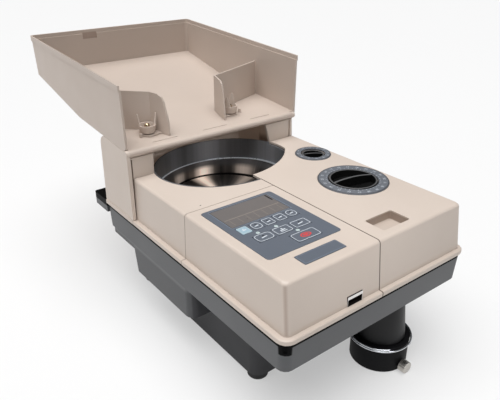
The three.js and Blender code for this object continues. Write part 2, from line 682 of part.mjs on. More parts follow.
function buildDrive() {
  const height = SPINDLE_PULLEY.top - SPINDLE_PULLEY.bottom;
  const seat = [WELL.x, WELL.y, SPINDLE_PULLEY.bottom];
  add("spindle_pulley", pulley(SPINDLE_PULLEY.r, 6.4, height), "black", seat);
  const motor = turned([
    [0, -117.1], [36, -117.1], [36, -113.5], [MOTOR.r, -113.5], [MOTOR.r, -56],
    [12, -56], [12, -52], [3.4, -52], [3.4, -80], [0, -80],
  ], 28);
  add("drive_motor", motor, "steel", [MOTOR.x, MOTOR.y, 0]);
  const shaft = post(0, 0, 3, -79, SPINDLE_PULLEY.top + 2, 16);
  const drive = pulley(MOTOR.pulley, 2, height).translate([0, 0, SPINDLE_PULLEY.bottom]);
  add("motor_pulley", shaft.add(drive), "steel", [MOTOR.x, MOTOR.y, 0]);
  add("drive_belt", driveBelt(height), "rubber", [0, 0, SPINDLE_PULLEY.bottom]);
}

// The flat belt: a band of even thickness pulled tight round the two pulleys.
function driveBelt(height) {
  const far = new THREE.Vector2(WELL.x, WELL.y);
  const near = new THREE.Vector2(MOTOR.x, MOTOR.y);
  const along = far.clone().sub(near);
  const tilt = Math.acos((SPINDLE_PULLEY.r - MOTOR.pulley) / along.length());
  const heading = along.angle();
  const loop = (clearance) => {
    const arc = (centre, radius, from, to, steps) => Array.from({ length: steps + 1 }, (_, i) => {
      const angle = from + ((to - from) * i) / steps;
      return centre.clone().add(new THREE.Vector2(Math.cos(angle), Math.sin(angle)).multiplyScalar(radius));
    });
    const turn = Math.PI - tilt;
    return [
      ...arc(far, SPINDLE_PULLEY.r + clearance, heading - turn, heading + turn, 24),
      ...arc(near, MOTOR.pulley + clearance, heading + turn, heading + 2 * Math.PI - turn, 10),
    ];
  };
  return prismZ(loop(2.2), 2, height - 2).subtract(prismZ(loop(0.6), 0, height));
}

// ---------------------------------------------------------------- coin path under the right cover

function buildCoinPath() {
  const rail = join(
    box(163, 166, 60, 186, DECK_TOP + GAP, 5),
    box(163, 166, 144, 156, 4, 26),
  );
  add("coin_rail", rail.subtract(barX(160, 170, 150, 21, 2.4, 12)), "steel");
  const roller = join(
    barX(-6, 6, 0, 0, 13.6, 32),
    barX(-20, 8, 0, 0, 2, 12),
  );
  add("feed_roller", roller, "rubber", [179, 150, 21]);
  const slider = join(
    box(0, 3, -66, 54, 0, 5.2),
    box(0, 36, -7, 7, 5, 7.2),
  );
  add("diameter_rail", slider, "steel", [192, 126, DECK_TOP + GAP]);
  const gate = join(
    box(-11, 11, -4, 4, 0, 12),
    prismZ([[-11, -4], [10, -4], [60, 20], [62, 34], [48, 34], [-11, 4]], 11.5, 14),
  );
  add("thickness_gate", gate, "steel", [179, 188, 2]);
  buildStop();
  buildKnobs();
}

// The coin stop: a solenoid on its bracket over the coin path, and its plunger.
function buildStop() {
  const bracket = join(
    box(-28, -25, -7, 7, DECK_TOP + GAP, 34),
    box(-28, 7, -7, 7, 32, 34),
    box(-7, 7, -7, 7, 12, 33),
  );
  add("stop_solenoid", bracket.subtract(post(0, 0, 2.5, 0, 40, 16)), "black", [174, 76, 0]);
  const pin = join(post(0, 0, 2, 5.5, 40, 16), post(0, 0, 4.5, 39, 42, 16));
  add("stop_pin", pin, "steel", [174, 76, 0]);
}

// A recessed dial knob: a dish with a raised rim, an arched finger bar across it and a shaft below.
function dialKnob(radius, rimTop, floor, crown, shaft, shaftBottom) {
  const dish = turned([
    [0, shaftBottom], [shaft, shaftBottom], [shaft, floor - 4], [radius - 3, floor - 4], [radius, floor - 1],
    [radius, rimTop - 0.6], [radius - 0.7, rimTop], [radius - 2, rimTop], [radius - 3, floor], [0, floor],
  ], 36);
  const reach = radius - 1.4;
  const arch = Array.from({ length: 9 }, (_, i) => {
    const y = reach * (1 - i / 4);
    return [y, rimTop + (crown - rimTop) * (1 - (y / reach) ** 2)];
  });
  const thickness = Math.max(2.6, radius * 0.11);
  const bar = prismX([[-reach, floor - 1], [reach, floor - 1], ...arch], -thickness / 2, thickness / 2);
  return dish.add(bar);
}

function buildKnobs() {
  const big = dialKnob(BIG_DIAL.knob, 60.9, 52.5, 63.6, 5, 12);
  const bigKnob = add("diameter_knob", big, "gloss", [BIG_DIAL.x, BIG_DIAL.y, 0]);
  bigKnob.rotation.z = THREE.MathUtils.degToRad(79);
  const small = dialKnob(SMALL_DIAL.knob, 59.2, 52.5, 60.4, 4, 23);
  const smallKnob = add("thickness_knob", small, "gloss", [SMALL_DIAL.x, SMALL_DIAL.y, 0]);
  smallKnob.rotation.z = THREE.MathUtils.degToRad(60);
  for (const [name, dial] of [["diameter_ring", BIG_DIAL], ["thickness_ring", SMALL_DIAL]]) {
    const top = COVER_TOP + 1.1;
    const ring = turned([
      [dial.hole, COVER_TOP - 0.45], [dial.ring, COVER_TOP - 0.45], [dial.ring, top - 0.6],
      [dial.ring - 0.6, top], [dial.hole, top],
    ], 40);
    add(name, ring, "blueGrey", [dial.x, dial.y, 0]);
  }
  const legs = [[212, 104], [250, 104], [250, 232], [228, 232]];
  const bridge = prismZ([[206, 98], [256, 98], [256, 238], [224, 238], [206, 222]], 36, 38.4);
  add("dial_bridge", cut(
    join(bridge, ...legs.map(([x, y]) => post(x, y, 3, DECK_TOP + GAP, 37, 12))),
    post(BIG_DIAL.x, BIG_DIAL.y, 5.4, 30, 45, 20),
    post(SMALL_DIAL.x, SMALL_DIAL.y, 4.4, 30, 45, 20),
  ), "steel");
}

// ---------------------------------------------------------------- control panel

// Keys as [name, centre x, centre y, width, depth] in their three rows.
const KEYS = [
  ...[0, 1, 2, 3, 4].map((i) => [`key_${i + 1}`, 36.4 + 15.5 * i, 106.6, 12.3, 13.2]),
  ...[0, 1, 2].map((i) => [`key_${i + 6}`, 44.2 + 23.4 * i, 84.4, 20.2, 13.2]),
  ["key_9", 79.4, 63.1, 30.6, 15.4],
];

const KEY_HEIGHT = 5.5;

function buildPanel() {
  const o = OVERLAY;
  const holes = KEYS.map(([, x, y, w, d]) => {
    const half = [w / 2 + GAP, d / 2 + GAP];
    return box(x - half[0], x + half[0], y - half[1], y + half[1], 50, 70);
  });
  const d = DISPLAY;
  const window = box(d.left - GAP, d.right + GAP, d.front - GAP, d.rear + GAP, 50, 70);
  const sheet = prismZ(outline(o.left, o.right, o.front, o.rear, 3.7), o.top - o.thick, o.top);
  add("control_overlay", cut(sheet, window, ...holes), "blueGrey");
  add("display_window", box(d.left, d.right, d.front, d.rear, 54, o.top - 0.05), "smoked");
  add("panel_board", box(26, 109, 54, 157, 51.4, 53), "board");
  for (const [name, x, y, w, depth] of KEYS) {
    const key = prismZ(outline(-w / 2, w / 2, -depth / 2, depth / 2, 1.2, 1.2, 2), 0, KEY_HEIGHT);
    add(name, key, "blueGrey", [x, y, o.top + 0.2 - KEY_HEIGHT]);
  }
  const n = NAMEPLATE;
  const plate = outline(n.left, n.right, n.front, n.rear, 1.2, 1.2, 2);
  add("nameplate", prismZ(plate, COVER_TOP - 0.5, COVER_TOP + 0.3), "blueGrey");
}

function buildPort() {
  const p = PORT;
  const shell = box(p.left, p.right, 5.2, 22, p.bottom, p.top);
  const mouth = box(p.left + 1, p.right - 1, 0, 19, p.bottom + 1, p.top - 1);
  const tongue = box(p.left + 3.5, p.right - 3.5, 9, 20, p.top - 4.6, p.top - 3);
  add("data_port", shell.subtract(mouth).add(tongue), "steel");
}

// ---------------------------------------------------------------- bag tube

function buildExit() {
  const place = [EXIT.x, EXIT.y, 0];
  const { collar, flange, foot, top, wall, bottom } = EXIT;
  const tube = turned([
    [foot - wall, bottom], [foot, bottom], [foot, bottom + 6], [top, BAND_BOTTOM], [top, -7],
    [top + 5, -7], [top + 5, -3.4], [top - wall, -3.4], [top - wall, BAND_BOTTOM],
  ], 36);
  add("exit_tube", tube, "black", place);
  const ring = turned([
    [foot + 0.5, EXIT.collarBottom], [collar, EXIT.collarBottom], [collar, -98],
    [flange, -96.6], [flange, -94.2], [flange - 1, -93.4], [foot + 0.5, -93.4],
  ], 40);
  const screwHole = barY(0, -collar - 3, -collar + 8, COLLAR_SCREW_Z, 2.7, 12);
  add("exit_collar", ring.subtract(screwHole), "gloss", place);
  add("bag_hoop", hoop(flange + 1.5), "chrome", [EXIT.x, EXIT.y, -97]);
  const knurls = 18;
  const head = new THREE.Shape(Array.from({ length: 2 * knurls }, (_, i) => {
    const angle = (i / knurls) * Math.PI;
    const radius = i % 2 ? 6.7 : 7.2;
    return new THREE.Vector2(radius * Math.cos(angle), radius * Math.sin(angle));
  }));
  const grip = new THREE.ExtrudeGeometry(head, { depth: 8.5, bevelEnabled: false });
  const screw = join(solidOf(grip.rotateX(Math.PI / 2)), barY(0, -0.5, 5, 0, 2.3, 12));
  add("collar_screw", screw, "chrome", [EXIT.x, EXIT.y - collar - 1.4, COLLAR_SCREW_Z]);
}

// A sprung wire hoop of nearly two turns that clips a bag round the collar.
function hoop(radius) {
  const turns = 1.86;
  const wire = 1.1;
  const rise = 2.6;
  const points = Array.from({ length: 48 }, (_, i) => {
    const t = i / 47;
    const angle = turns * 2 * Math.PI * t - 0.4 * Math.PI;
    return new THREE.Vector3(radius * Math.cos(angle), radius * Math.sin(angle), rise * turns * t - 1.2);
  });
  const section = new THREE.Shape(ellipse(0, 0, wire, wire, 6));
  const path = new THREE.CatmullRomCurve3(points);
  return solidOf(new THREE.ExtrudeGeometry(section, { steps: 52, extrudePath: path, bevelEnabled: false }));
}

// ---------------------------------------------------------------- electrics

function buildElectrics() {
  const board = join(
    box(122, 224, 196, 330, -110, -108.4),
    box(132, 176, 210, 250, -108.6, -78),
    box(188, 214, 212, 262, -108.6, -92),
    post(200, 290, 9, -109, -86, 16),
    post(176, 290, 7, -109, -90, 16),
    ...[[128, 202], [218, 202], [128, 324], [218, 324]].map(([x, y]) => post(x, y, 3, -117, -109, 12)),
  );
  add("main_board", board, "board");
  const { x, z } = INLET;
  const inlet = join(
    box(x - 13.6, x + 13.6, 338, 358.5, z - 9.9, z + 9.9),
    box(x - 18, x + 18, 357.4, 359.6, z - 13, z + 13),
  );
  const socket = box(x - 11.5, x + 11.5, 343, 361, z - 7.6, z + 7.6);
  const blade = (dx, dz) => box(x + dx - 1.1, x + dx + 1.1, 342, 355, z + dz - 2.2, z + dz + 2.2);
  add("power_inlet", join(inlet.subtract(socket), blade(-7, -1.5), blade(0, 2.5), blade(7, -1.5)), "black");
  const face = [[-7, -10.4], [0.5, -10.4], [1.6, -4], [0.9, 0], [1.6, 4], [0.5, 10.4], [-7, 10.4]];
  const rocker = add("power_rocker", prismX(face, -7.4, 7.4), "black", [ROCKER.x, 357.5, ROCKER.z]);
  rocker.rotation.x = THREE.MathUtils.degToRad(7);
}

// ---------------------------------------------------------------- assembly

buildBase();
buildDeck();
buildWell();
buildDrive();
buildCoinPath();
buildCovers();
buildPanel();
buildPort();
buildRearHousing();
buildExit();
buildElectrics();
const tray = new THREE.Group();
machine.add(tray);
buildTray(tray);
GUIDES.forEach((guide) => buildGuide(tray, guide));

const extent = new THREE.Box3().setFromObject(machine);
const middle = extent.getCenter(new THREE.Vector3());
machine.position.set(-middle.x, -middle.y, -extent.min.z);

export default machine;
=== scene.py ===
import json
import math

import bpy
from mathutils import Matrix, Vector


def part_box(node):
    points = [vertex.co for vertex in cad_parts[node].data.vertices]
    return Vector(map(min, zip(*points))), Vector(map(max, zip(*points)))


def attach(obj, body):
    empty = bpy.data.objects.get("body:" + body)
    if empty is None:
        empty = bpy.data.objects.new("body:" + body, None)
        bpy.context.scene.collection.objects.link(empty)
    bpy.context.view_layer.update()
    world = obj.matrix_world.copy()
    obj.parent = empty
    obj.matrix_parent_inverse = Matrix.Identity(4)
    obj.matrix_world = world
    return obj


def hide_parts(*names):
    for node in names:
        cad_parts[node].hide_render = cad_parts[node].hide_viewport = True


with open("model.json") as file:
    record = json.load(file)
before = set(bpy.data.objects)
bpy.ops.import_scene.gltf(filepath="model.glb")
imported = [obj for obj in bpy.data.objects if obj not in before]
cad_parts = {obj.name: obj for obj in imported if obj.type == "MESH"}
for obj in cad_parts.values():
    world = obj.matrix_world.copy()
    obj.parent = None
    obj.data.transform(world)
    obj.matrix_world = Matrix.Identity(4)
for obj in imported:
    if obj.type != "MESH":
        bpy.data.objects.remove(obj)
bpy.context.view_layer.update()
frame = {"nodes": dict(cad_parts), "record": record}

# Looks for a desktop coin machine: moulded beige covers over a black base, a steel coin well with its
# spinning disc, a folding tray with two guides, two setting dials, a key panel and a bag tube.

MM = 0.001

# The front left corner of the cover flange. Places are worked out in millimetres from it.
FLANGE_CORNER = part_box("panel_housing")[0]


def at(x, y, z):
    """A place given in millimetres from the flange's corner, in the row frame."""
    return FLANGE_CORNER + Vector((x, y, z)) * MM


def along(axis, *values):
    """Coordinates on one axis given in millimetres from the flange's corner, in the row frame."""
    return [FLANGE_CORNER["xyz".index(axis)] + value * MM for value in values]


def corners(node):
    """A CAD node's lowest and highest corner, in millimetres from the flange's corner."""
    return [[round(value / MM, 3) for value in corner - FLANGE_CORNER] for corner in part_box(node)]


def middle(node):
    """The middle of a CAD node's box, in millimetres from the flange's corner."""
    low, high = corners(node)
    return [(a + b) / 2 for a, b in zip(low, high)]


def seen_from_above(node):
    """A CAD node's middle x and y, its width and depth, and the height of its top."""
    low, high = corners(node)
    x, y, _ = middle(node)
    return x, y, high[0] - low[0], high[1] - low[1], high[2]


WELL_X, WELL_Y, WELL_WIDTH, WELL_DEPTH, _ = seen_from_above("well_wall")

# The middles of the joints between the three covers.
LONG_SEAM_X = (corners("panel_housing")[1][0] + corners("right_cover")[0][0]) / 2
CROSS_SEAM_Y = (corners("panel_housing")[1][1] + corners("disc_cover")[0][1]) / 2

# ------------------------------------------------------------------ camera, floor and light

CAMERA = {"place": at(-255.31, -282.98, 332.09), "pitch": 26.14, "yaw": 37.51, "lens": 40.3}
MACHINE_MIDDLE = (0, 0, 0.15)


def make_camera():
    data = bpy.data.cameras.new("camera")
    data.lens = CAMERA["lens"]
    data.sensor_width = 36
    data.clip_start, data.clip_end = 0.01, 60
    camera = bpy.data.objects.new("camera", data)
    camera.location = CAMERA["place"]
    camera.rotation_euler = (math.radians(90 - CAMERA["pitch"]), 0, -math.radians(CAMERA["yaw"]))
    bpy.context.scene.collection.objects.link(camera)
    bpy.context.scene.camera = camera


def add_light(name, kind, watts, towards_light, place=(0, 0, 0), **settings):
    """A lamp that shines from a direction, with the settings of its own kind."""
    data = bpy.data.lights.new(name, kind)
    data.energy = watts
    for key, value in settings.items():
        setattr(data, key, value)
    light = bpy.data.objects.new(name, data)
    light.location = place
    light.rotation_euler = Vector(towards_light).to_track_quat("Z", "Y").to_euler()
    bpy.context.scene.collection.objects.link(light)


def area_light(name, place, size, watts):
    data = bpy.data.lights.new(name, "AREA")
    data.shape = "RECTANGLE"
    data.size, data.size_y = size
    data.energy = watts
    light = bpy.data.objects.new(name, data)
    light.location = place
    light.rotation_euler = (Vector(MACHINE_MIDDLE) - Vector(place)).to_track_quat("-Z", "Y").to_euler()
    bpy.context.scene.collection.objects.link(light)


def make_light():
    world = bpy.data.worlds.new("studio")
    world.use_nodes = True
    background = world.node_tree.nodes["Background"]
    background.inputs["Color"].default_value = (0.97, 0.98, 1, 1)
    background.inputs["Strength"].default_value = 0.11
    bpy.context.scene.world = world
    add_light("overhead_key", "SUN", 3.55, (-0.17, -0.05, 0.98), angle=math.radians(65))
    area_light("top_softbox", (-0.25, -0.2, 1.9), (1.3, 1.1), 3)
    area_light("left_softbox", (-2.0, 0.1, 0.8), (1.2, 1.2), 1)
    lamp, lit_wall = at(60, -880, 560), at(WELL_X, WELL_Y + 53, 8)
    add_light("well_fill", "SPOT", 34, lamp - lit_wall, lamp, spot_size=math.radians(8), spot_blend=0.8,
              shadow_soft_size=0.12)
    settings = bpy.context.scene.view_settings
    settings.view_transform = "Standard"
    settings.look = "None"


def make_floor():
    bpy.ops.mesh.primitive_plane_add(size=30)
    floor = bpy.context.object
    floor.name = "floor"
    material = bpy.data.materials.new("floor_white")
    material.use_nodes = True
    shader = material.node_tree.nodes["Principled BSDF"]
    shader.inputs["Base Color"].default_value = (0.41, 0.41, 0.41, 1)
    shader.inputs["Roughness"].default_value = 0.9
    shader.inputs["Emission Color"].default_value = (1, 1, 1, 1)
    shader.inputs["Emission Strength"].default_value = 0.44
    floor.data.materials.append(material)


make_camera()
make_light()
make_floor()

# ------------------------------------------------------------------ materials

USUAL_FADE = 0.4


class Surface:
    """A Principled material with short calls for the noise, masks and bump that it is made of."""

    def __init__(self, name, colour, roughness, **sockets):
        self.material = bpy.data.materials.new(name)
        self.material.use_nodes = True
        self.tree = self.material.node_tree
        self.shader = self.tree.nodes["Principled BSDF"]
        self.shader.inputs["Base Color"].default_value = (*colour, 1)
        self.shader.inputs["Roughness"].default_value = roughness
        for socket, value in sockets.items():
            self.shader.inputs[socket.replace("_", " ")].default_value = value
        self.place = self.node("ShaderNodeTexCoord").outputs["Object"]
        self.normal = None

    def node(self, kind, **settings):
        made = self.tree.nodes.new(kind)
        for key, value in settings.items():
            setattr(made, key, value)
        return made

    def link(self, source, target):
        self.tree.links.new(source, target)

    def math(self, operation, first, *others):
        """The operation on the first two sources or numbers, then on its result and each later one."""
        total = first
        for other in others or (0.0,):
            made = self.node("ShaderNodeMath", operation=operation)
            for i, value in enumerate((total, other)):
                if isinstance(value, (int, float)):
                    made.inputs[i].default_value = value
                else:
                    self.link(value, made.inputs[i])
            total = made.outputs["Value"]
        return total

    def axes(self):
        made = self.node("ShaderNodeSeparateXYZ")
        self.link(self.place, made.inputs["Vector"])
        return {"x": made.outputs["X"], "y": made.outputs["Y"], "z": made.outputs["Z"]}

    def noise(self, scale, detail=3.0, roughness=0.5, stretch=None, source=None):
        made = self.node("ShaderNodeTexNoise")
        made.inputs["Scale"].default_value = scale
        made.inputs["Detail"].default_value = detail
        made.inputs["Roughness"].default_value = roughness
        source = source or self.place
        if stretch:
            mapping = self.node("ShaderNodeMapping")
            mapping.inputs["Scale"].default_value = stretch
            self.link(source, mapping.inputs["Vector"])
            source = mapping.outputs["Vector"]
        self.link(source, made.inputs["Vector"])
        return made.outputs["Fac"]

    def ramp(self, source, low, high, at_low=0.3, at_high=0.7):
        """A source spread between two colours or two numbers."""
        made = self.node("ShaderNodeMapRange" if isinstance(low, (int, float)) else "ShaderNodeValToRGB")
        if isinstance(low, (int, float)):
            made.inputs["From Min"].default_value = at_low
            made.inputs["From Max"].default_value = at_high
            made.inputs["To Min"].default_value = low
            made.inputs["To Max"].default_value = high
            self.link(source, made.inputs["Value"])
            return made.outputs["Result"]
        ends = made.color_ramp.elements
        ends[0].position, ends[1].position = at_low, at_high
        ends[0].color, ends[1].color = (*low, 1), (*high, 1)
        self.link(source, made.inputs["Fac"])
        return made.outputs["Color"]

    def above(self, axis, start, end):
        """Nothing up to the start, and one past the end, in millimetres along an axis."""
        return self.ramp(self.axes()[axis], 0.0, 1.0, *along(axis, start, end))

    def below(self, axis, start, end):
        """One up to the start, and nothing past the end, in millimetres along an axis."""
        return self.ramp(self.axes()[axis], 1.0, 0.0, *along(axis, start, end))

    def region(self, **spans):
        """One inside a box and nothing outside it, fading within the ends that are given for each axis."""
        sides = []
        for axis, (low, high, *given) in spans.items():
            fade = given[0] if given else USUAL_FADE
            sides += [self.above(axis, low, low + fade), self.below(axis, high - fade, high)]
        return self.math("MULTIPLY", *sides)

    def mix(self, factor, first, second):
        made = self.node("ShaderNodeMix", data_type="RGBA")
        self.link(factor, made.inputs[0])
        for socket, value in ((made.inputs[6], first), (made.inputs[7], second)):
            if isinstance(value, tuple):
                socket.default_value = (*value, 1)
            else:
                self.link(value, socket)
        return made.outputs[2]

    def drive(self, socket, source):
        self.link(source, self.shader.inputs[socket])

    def bump(self, source, millimetres, strength=1.0):
        """Adds relief on top of the relief made so far."""
        made = self.node("ShaderNodeBump")
        made.inputs["Strength"].default_value = strength
        made.inputs["Distance"].default_value = millimetres * MM
        self.link(source, made.inputs["Height"])
        if self.normal:
            self.link(self.normal, made.inputs["Normal"])
        self.normal = made.outputs["Normal"]
        self.drive("Normal", self.normal)


def moulded(name, colour, shade, roughness, grain=0.03, scale=1500, **sockets):
    """Injection-moulded plastic: a fine spark-eroded grain, faint flow marks and hand-worn sheen."""
    s = Surface(name, colour, roughness, **sockets)
    s.drive("Base Color", s.ramp(s.noise(9, 4), shade, colour))
    s.drive("Roughness", s.ramp(s.noise(26, 5, 0.6), roughness - 0.05, roughness + 0.07))
    s.bump(s.noise(scale, 2, 0.6), grain)
    s.bump(s.noise(60, 2), 0.05, 0.4)
    return s.material


# Near black, used for painted shade.
SHADE_BLACK = (0.004, 0.004, 0.004)

# Half of the tub's width in millimetres, where its dark plastic starts to give way and where it ends.
TUB_SIDES = (126.5, 129.0)


def base_plastic():
    """The base's black plastic: satin on the outer band with a painted highlight along its low edge,
    darker and duller on the tub behind it, and painted black shade right under the flange and at the
    front left corner."""
    s = Surface("black_moulded", (0.1, 0.1, 0.1), 0.42)
    under_band = s.below("z", -40, -36.5)
    from_middle = s.math("ABSOLUTE", s.axes()["x"])
    inboard = s.ramp(from_middle, 1.0, 0.0, *(side * MM for side in TUB_SIDES))
    tub_part = s.math("MULTIPLY", under_band, inboard)
    side_panel = s.math("SUBTRACT", under_band, tub_part)
    # Painted highlight along the band's low edge, and painted black shade right under the flange and at the
    # front left corner.
    low_edge_highlight = s.below("z", -34.5, -33.5)
    under_flange_shade = s.above("z", -5.6, -5.0)
    corner_shade = s.math("MULTIPLY", s.below("x", 11.0, 12.5), s.below("y", 11.0, 12.5), s.above("z", -14.8, -13.8))
    band = s.ramp(s.noise(9, 4), (0.066, 0.069, 0.074), (0.084, 0.087, 0.092))
    band = s.mix(low_edge_highlight, band, (0.115, 0.118, 0.122))
    band = s.mix(under_flange_shade, band, SHADE_BLACK)
    band = s.mix(corner_shade, band, SHADE_BLACK)
    band = s.mix(side_panel, band, (0.056, 0.058, 0.062))
    tub = s.ramp(s.noise(12, 4), (0.030, 0.030, 0.033), (0.042, 0.042, 0.046))
    s.drive("Base Color", s.mix(tub_part, band, tub))
    shaded = s.math("MAXIMUM", corner_shade, s.math("SUBTRACT", under_flange_shade, under_band))
    s.drive("Specular IOR Level", s.ramp(shaded, 0.5, 0.03, 0, 1))
    s.drive("Roughness", s.ramp(tub_part, 0.44, 0.7, 0, 1))
    s.bump(s.noise(1100, 2, 0.6), 0.05)
    return s.material


# Recesses, where shade is painted, the housing's inside, where a glow is painted, and joints of the beige
# parts, as the low end, the high end and, where it isn't the usual one, the width of the fade, in
# millimetres from the flange's corner.
CATCH_RECESS = {"x": (78.5, 101.5), "z": (174.2, 184.3), "y": (565, 576.3)}
FINGER_RECESS = {"x": (145, 189), "y": (20, 49), "z": (49, 58.6, 1.2)}
INSIDE_HOUSING = {"x": (4.9, 257.3), "y": (295, 362.5), "z": (20, 88)}
REAR_SEAM = {"x": (4.4, 7.9), "y": (288.3, 289.3, 0.1), "z": (5.3, 84)}

# The panel housing's front left edge, where shade is painted: its foot, and how far each wall leans in with
# height.
FRONT_EDGE = {"x": 5.8, "y": 5, "z": 5.2, "side_lean": 0.0258, "front_lean": 0.1088}


def front_edge_shade(s):
    """Painted shade along the panel housing's upright front left edge, which makes it darker than its walls.
    """
    foot = along("x", FRONT_EDGE["x"]) + along("y", FRONT_EDGE["y"]) + along("z", FRONT_EDGE["z"])
    x, y, height = (s.math("SUBTRACT", source, start) for source, start in zip(s.axes().values(), foot))
    off_side = s.math("SUBTRACT", x, s.math("MULTIPLY", height, FRONT_EDGE["side_lean"]))
    off_front = s.math("SUBTRACT", y, s.math("MULTIPLY", height, FRONT_EDGE["front_lean"]))
    near = s.ramp(s.math("MAXIMUM", off_side, off_front), 0.6, 0.0, 2.2 * MM, 4.0 * MM)
    return s.math("MULTIPLY", near, s.region(z=(5.4, 57, 2)))


def seam_lines(s):
    """The dark lines in the joints between the covers and beside the rear housing."""
    below_rim = s.below("z", 60.0, 60.5)

    def line(axis, seam, strength, half, part):
        off = s.math("ABSOLUTE", s.math("SUBTRACT", s.axes()[axis], *along(axis, seam)))
        return s.math("MULTIPLY", s.ramp(off, strength, 0.0, half * MM, (half + 0.4) * MM), part, below_rim)

    long_seam = line("x", LONG_SEAM_X, 0.8, 0.5, s.below("y", 195.5, 196.0))
    cross_seam = line("y", CROSS_SEAM_Y, 0.35, 0.4, s.below("x", 128.5, 129.0))
    return s.math("MAXIMUM", long_seam, cross_seam, s.region(**REAR_SEAM))


def beige_plastic(name, colour, shade):
    """The beige plastic, with painted shade in its recesses and along the housing's front left edge,
    dark lines in the joints between the covers, and a faint warm glow painted on the housing's inner
    faces, in place of the light that the bright steel of the well throws there."""
    s = Surface(name, colour, 0.42)
    body = s.ramp(s.noise(9, 4), shade, colour)
    # Painted shade in the tray's catch recess and in the finger recess.
    body = s.mix(s.region(**CATCH_RECESS), body, (0.40, 0.31, 0.26))
    body = s.mix(s.region(**FINGER_RECESS), body, (0.36, 0.285, 0.235))
    # Painted shade along the housing's front left edge.
    body = s.mix(front_edge_shade(s), body, (0.33, 0.245, 0.20))
    s.drive("Base Color", s.mix(seam_lines(s), body, (0.11, 0.075, 0.055)))
    # A faint warm glow painted on the housing's inner faces.
    s.drive("Emission Color", s.mix(s.region(**INSIDE_HOUSING), (0, 0, 0), (0.046, 0.033, 0.025)))
    s.shader.inputs["Emission Strength"].default_value = 1.0
    s.drive("Roughness", s.ramp(s.noise(26, 5, 0.6), 0.37, 0.49))
    s.bump(s.noise(1500, 2, 0.6), 0.03)
    s.bump(s.noise(60, 2), 0.05, 0.4)
    return s.material


def metal(name, colour, shade, roughness, stretch=(1, 1, 1), scale=90, metallic=1.0, **sockets):
    """Plated or brushed metal, with fine uneven polish that can be drawn out into brush marks."""
    s = Surface(name, colour, roughness, Metallic=metallic, **sockets)
    s.drive("Base Color", s.ramp(s.noise(12, 3), shade, colour))
    s.drive("Roughness", s.ramp(s.noise(scale, 4, 0.7, stretch), roughness - 0.08, roughness + 0.12))
    s.bump(s.noise(scale, 4, 0.7, stretch), 0.02, 0.6)
    return s.material


# Soft highlights painted on the spun metal, as [angle in degrees, sharpness, strength].
UPPER_GLOW = [(74, 22, 0.55), (10, 30, 0.40), (118, 30, 0.22), (-60, 12, 0.3), (200, 12, 0.3)]
LOWER_GLOW = [(78, 75, 1.0), (33, 60, 0.50), (112, 60, 0.35), (160, 30, 0.5), (-80, 20, 0.7)]
DISC_GLOW = [(84, 75, 1.0), (27, 70, 0.34), (150, 20, 0.5), (-60, 14, 0.8)]

WARM_DARK, WARM_BRIGHT = (0.034, 0.030, 0.028), (0.66, 0.56, 0.49)

# Bands of the spun metal from the bottom up, whose colours are painted reflections and highlights and whose
# lowest band is painted black shade at the funnel's foot, as (lowest z and its fade in millimetres,
# highlights, dark colour, bright colour, glow painted in the highlights).
WELL_BANDS = [
    (-5, 0.3, LOWER_GLOW, SHADE_BLACK, SHADE_BLACK, SHADE_BLACK),
    (10, 0.4, LOWER_GLOW, WARM_DARK, WARM_BRIGHT, (0.50, 0.41, 0.35)),
    (21.5, 2.8, LOWER_GLOW, (0.075, 0.073, 0.074), (0.20, 0.19, 0.19), (0.02, 0.018, 0.018)),
    (30, 0.3, UPPER_GLOW, (0.105, 0.108, 0.115), (0.34, 0.35, 0.38), (0.05, 0.05, 0.052)),
]
# The disc's colours are painted reflections and highlights too, with a painted glow in them.
DISC_BANDS = [(-5, 0.3, DISC_GLOW, WARM_DARK, (0.66, 0.57, 0.50), (0.50, 0.40, 0.33))]


def spun_metal(name, bands, roughness):
    """Spun steel: streaks of painted reflection and painted soft highlights, with a painted glow in the
    highlights, that run straight up the wall or out from the middle.
    """
    s = Surface(name, (0.3, 0.3, 0.3), roughness, Metallic=0.3)
    axes = s.axes()
    flat = s.node("ShaderNodeCombineXYZ")
    for axis, value in (("x", WELL_X), ("y", WELL_Y)):
        s.link(s.math("SUBTRACT", axes[axis], *along(axis, value)), flat.inputs[axis.upper()])
    spoke = s.node("ShaderNodeVectorMath", operation="NORMALIZE")
    s.link(flat.outputs["Vector"], spoke.inputs[0])
    streak = s.noise(7, 5, 0.65, source=spoke.outputs["Vector"])

    def glow(lobes):
        total = s.ramp(streak, -0.05, 0.14, 0.35, 0.7)
        for angle, sharpness, strength in lobes:
            lobe = s.node("ShaderNodeVectorMath", operation="DOT_PRODUCT")
            s.link(spoke.outputs["Vector"], lobe.inputs[0])
            heading = math.radians(angle)
            lobe.inputs[1].default_value = (math.cos(heading), math.sin(heading), 0)
            power = s.math("POWER", s.math("MAXIMUM", lobe.outputs["Value"], 0.0), sharpness)
            total = s.math("ADD", total, s.math("MULTIPLY", power, strength))
        return total

    shade = shine = None
    for bottom, fade, lobes, dark, bright, sparkle in bands:
        strength = glow(lobes)
        band_shade = s.ramp(strength, dark, bright, 0.0, 1.0)
        band_shine = s.ramp(strength, (0, 0, 0), sparkle, 0.15, 1.0)
        if shade is None:
            shade, shine = band_shade, band_shine
        else:
            in_band = s.above("z", bottom - fade, bottom + fade)
            shade = s.mix(in_band, shade, band_shade)
            shine = s.mix(in_band, shine, band_shine)
    # Painted reflections in the colour, and a painted glow in the highlights.
    s.drive("Base Color", shade)
    s.drive("Emission Color", shine)
    s.shader.inputs["Emission Strength"].default_value = 1.0
    s.drive("Roughness", s.ramp(streak, roughness - 0.06, roughness + 0.1))
    s.bump(s.noise(40, 3, 0.6, source=spoke.outputs["Vector"]), 0.05, 0.5)
    return s.material


